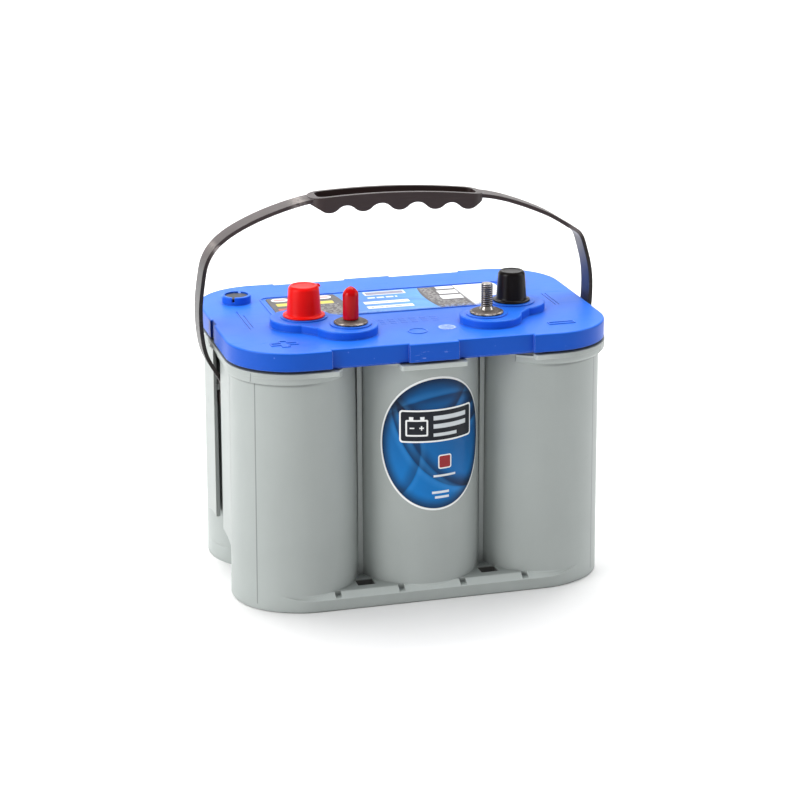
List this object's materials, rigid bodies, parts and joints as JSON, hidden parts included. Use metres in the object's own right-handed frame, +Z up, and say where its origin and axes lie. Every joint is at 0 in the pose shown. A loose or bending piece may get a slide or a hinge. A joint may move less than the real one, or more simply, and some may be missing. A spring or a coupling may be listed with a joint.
{
  "type": "deep cycle battery",
  "caption": "Sealed spiral-cell battery with lead posts, threaded studs, push-on terminal caps and a strap carry handle that slides in end guides.",
  "frame": {"origin": "centre of the underside, on the surface that the battery stands on", "axes": "+X along the length towards the negative terminal, +Y from the labelled front to the back, +Z up"},
  "size_m": [0.272, 0.1752, 0.2593],
  "materials": {
    "case_plastic": "light grey moulded polypropylene, fine satin",
    "cover_plastic": "bright blue moulded polypropylene, satin",
    "lid_plastic": "light grey moulded polypropylene",
    "handle_plastic": "brown-black moulded polypropylene, satin",
    "red_cap_plastic": "bright red soft moulded plastic",
    "black_cap_plastic": "black soft moulded plastic",
    "red_vinyl": "glossy dip-moulded vinyl, deep red",
    "cast_lead": "dull grey cast lead, lightly scuffed",
    "stainless": "stainless thread, bright on the crests",
    "vent_disc": "dark porous disc",
    "front_label_film": "glossy printed film, blue with a white edge",
    "top_label_film": "glossy printed film, dark ends and a light blue middle",
    "sticker_film": "small pale round sticker",
    "valve_rubber": "black rubber",
    "positive_lead": "dark brown active paste on a lead-tin grid",
    "negative_lead": "grey spongy lead on a lead-tin grid",
    "glass_mat": "white absorbent glass mat"
  },
  "bodies": {
    "root": {"case_shell": "case_plastic", "cover": "cover_plastic", "positive_terminal": "cast_lead", "negative_terminal": "cast_lead", "positive_stud": "stainless", "negative_stud": "stainless", "vent_disc_left": "vent_disc", "vent_disc_right": "vent_disc", "front_label": "front_label_film", "top_label": "top_label_film", "round_sticker": "sticker_film", "inner_lid": "lid_plastic", "relief_valve_1": "valve_rubber", "relief_valve_2": "valve_rubber", "relief_valve_3": "valve_rubber", "relief_valve_4": "valve_rubber", "relief_valve_5": "valve_rubber", "relief_valve_6": "valve_rubber", "positive_plate_1": "positive_lead", "positive_plate_2": "positive_lead", "positive_plate_3": "positive_lead", "positive_plate_4": "positive_lead", "positive_plate_5": "positive_lead", "positive_plate_6": "positive_lead", "negative_plate_1": "negative_lead", "negative_plate_2": "negative_lead", "negative_plate_3": "negative_lead", "negative_plate_4": "negative_lead", "negative_plate_5": "negative_lead", "negative_plate_6": "negative_lead", "separator_1": "glass_mat", "separator_2": "glass_mat", "separator_3": "glass_mat", "separator_4": "glass_mat", "separator_5": "glass_mat", "separator_6": "glass_mat", "cell_link_1": "cast_lead", "cell_link_2": "cast_lead", "cell_link_3": "cast_lead", "cell_link_4": "cast_lead", "cell_link_5": "cast_lead", "positive_end_bar": "cast_lead", "negative_end_bar": "cast_lead"},
    "handle": {"carry_handle": "handle_plastic"},
    "red_post_cap_body": {"red_post_cap": "red_cap_plastic"},
    "black_post_cap_body": {"black_post_cap": "black_cap_plastic"},
    "red_stud_cap_body": {"red_stud_cap": "red_vinyl"}
  },
  "joints": [
    {"name": "handle_slide", "type": "slide", "parent": "root", "child": "handle", "axis": [0, 0, -1], "range_m": [0, 0.03]},
    {"name": "red_post_cap_lift", "type": "slide", "parent": "root", "child": "red_post_cap_body", "axis": [0, 0, 1], "range_m": [0, 0.03]},
    {"name": "black_post_cap_lift", "type": "slide", "parent": "root", "child": "black_post_cap_body", "axis": [0, 0, 1], "range_m": [0, 0.03]},
    {"name": "red_stud_cap_lift", "type": "slide", "parent": "root", "child": "red_stud_cap_body", "axis": [0, 0, 1], "range_m": [0, 0.03]}
  ]
}
